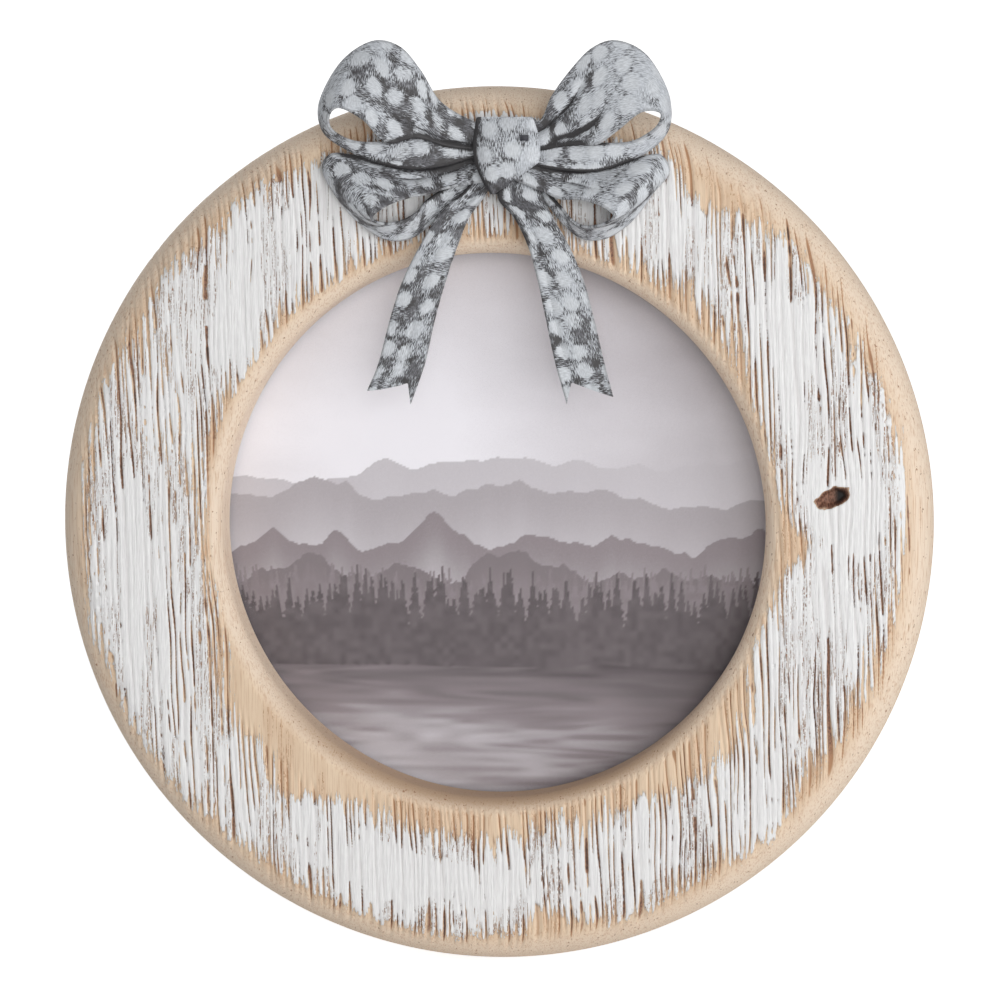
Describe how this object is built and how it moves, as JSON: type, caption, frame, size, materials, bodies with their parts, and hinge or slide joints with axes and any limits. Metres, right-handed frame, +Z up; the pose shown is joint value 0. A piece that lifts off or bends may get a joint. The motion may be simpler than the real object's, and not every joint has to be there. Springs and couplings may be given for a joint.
{
  "type": "round photo frame",
  "caption": "Round wooden photo frame with a ribbon bow of sheet metal, glazed front, turn-buttoned back panel, hanging ring and folding easel leg.",
  "frame": {"origin": "on the table under the middle of the frame's box", "axes": "+Z up, -Y the way the picture faces, +X to the viewer's right"},
  "size_m": [0.2, 0.09, 0.2091],
  "materials": {
    "whitewashed_wood": "wire-brushed, white paint",
    "clear_glass": "clear",
    "print_paper": "satin",
    "grey_card": "matt",
    "fibreboard": "hardboard, smooth",
    "bow_paint": "hand-painted matt",
    "zinc_steel": "zinc plated",
    "dark_steel": "plain wire"
  },
  "bodies": {
    "frame": {"frame_ring": "whitewashed_wood", "glazing": "clear_glass", "photo_print": "print_paper", "backing_card": "grey_card", "back_panel": "fibreboard", "turn_button_screws": "zinc_steel", "hinge_leaf_panel": "zinc_steel", "hinge_pin": "zinc_steel", "panel_rivets": "zinc_steel", "hanger_strap": "zinc_steel", "hanger_screw": "zinc_steel", "bow_knot": "bow_paint", "bow_loop_upper_left": "bow_paint", "bow_loop_upper_right": "bow_paint", "bow_loop_lower_left": "bow_paint", "bow_loop_lower_right": "bow_paint", "bow_tail_left": "bow_paint", "bow_tail_right": "bow_paint", "bow_brad": "dark_steel"},
    "leg": {"easel_leg": "fibreboard", "hinge_leaf_leg": "zinc_steel", "leg_rivets": "zinc_steel"},
    "hanger": {"hanger_ring": "zinc_steel"},
    "turn_button_1": {"turn_button_1": "zinc_steel"},
    "turn_button_2": {"turn_button_2": "zinc_steel"},
    "turn_button_3": {"turn_button_3": "zinc_steel"},
    "turn_button_4": {"turn_button_4": "zinc_steel"}
  },
  "joints": [
    {"name": "leg_fold", "type": "hinge", "parent": "frame", "child": "leg", "pos_m": [0, 0.01039, 0.13198], "axis": [1, 0, 0], "range_deg": [-29, 0]},
    {"name": "hanger_swing", "type": "hinge", "parent": "frame", "child": "hanger", "pos_m": [0, 0.02134, 0.17563], "axis": [1, 0, 0], "range_deg": [-13, 160]},
    {"name": "turn_button_1_turn", "type": "hinge", "parent": "frame", "child": "turn_button_1", "pos_m": [0.05515, 0.01251, 0.14917], "axis": [0, 0.9659, -0.2588], "continuous": true},
    {"name": "turn_button_2_turn", "type": "hinge", "parent": "frame", "child": "turn_button_2", "pos_m": [-0.05515, 0.01251, 0.14917], "axis": [0, 0.9659, -0.2588], "continuous": true},
    {"name": "turn_button_3_turn", "type": "hinge", "parent": "frame", "child": "turn_button_3", "pos_m": [-0.05515, -0.01604, 0.04262], "axis": [0, 0.9659, -0.2588], "continuous": true},
    {"name": "turn_button_4_turn", "type": "hinge", "parent": "frame", "child": "turn_button_4", "pos_m": [0.05515, -0.01604, 0.04262], "axis": [0, 0.9659, -0.2588], "continuous": true}
  ]
}
